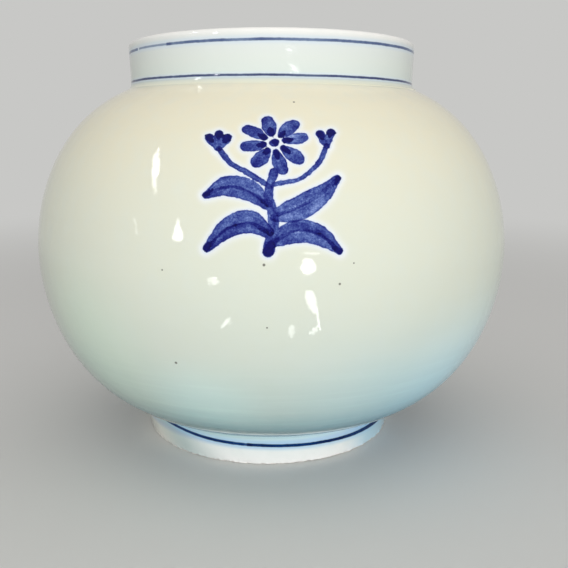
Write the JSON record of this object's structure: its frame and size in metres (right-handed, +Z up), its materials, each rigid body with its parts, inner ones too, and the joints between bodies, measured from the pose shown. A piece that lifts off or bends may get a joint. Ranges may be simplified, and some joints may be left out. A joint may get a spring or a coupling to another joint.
{
  "type": "porcelain jar",
  "caption": "Round-bodied glazed porcelain jar with a short upright neck, a wide open mouth and a foot ring, for keeping food or standing as a vase.",
  "frame": {"origin": "centre of the foot's tread, on the surface that the jar stands on", "axes": "+Z up along the wheel's axis through the mouth; -Y faces the picture's camera, so the painted front faces -Y"},
  "size_m": [0.24, 0.24, 0.198],
  "materials": {
    "glazed_porcelain": "glossy clear glaze over white porcelain, with painted cobalt lines; the tread is bare"
  },
  "bodies": {
    "root": {"foot_ring": "glazed_porcelain", "lower_bowl": "glazed_porcelain", "upper_bowl": "glazed_porcelain", "neck_collar": "glazed_porcelain"}
  },
  "joints": []
}
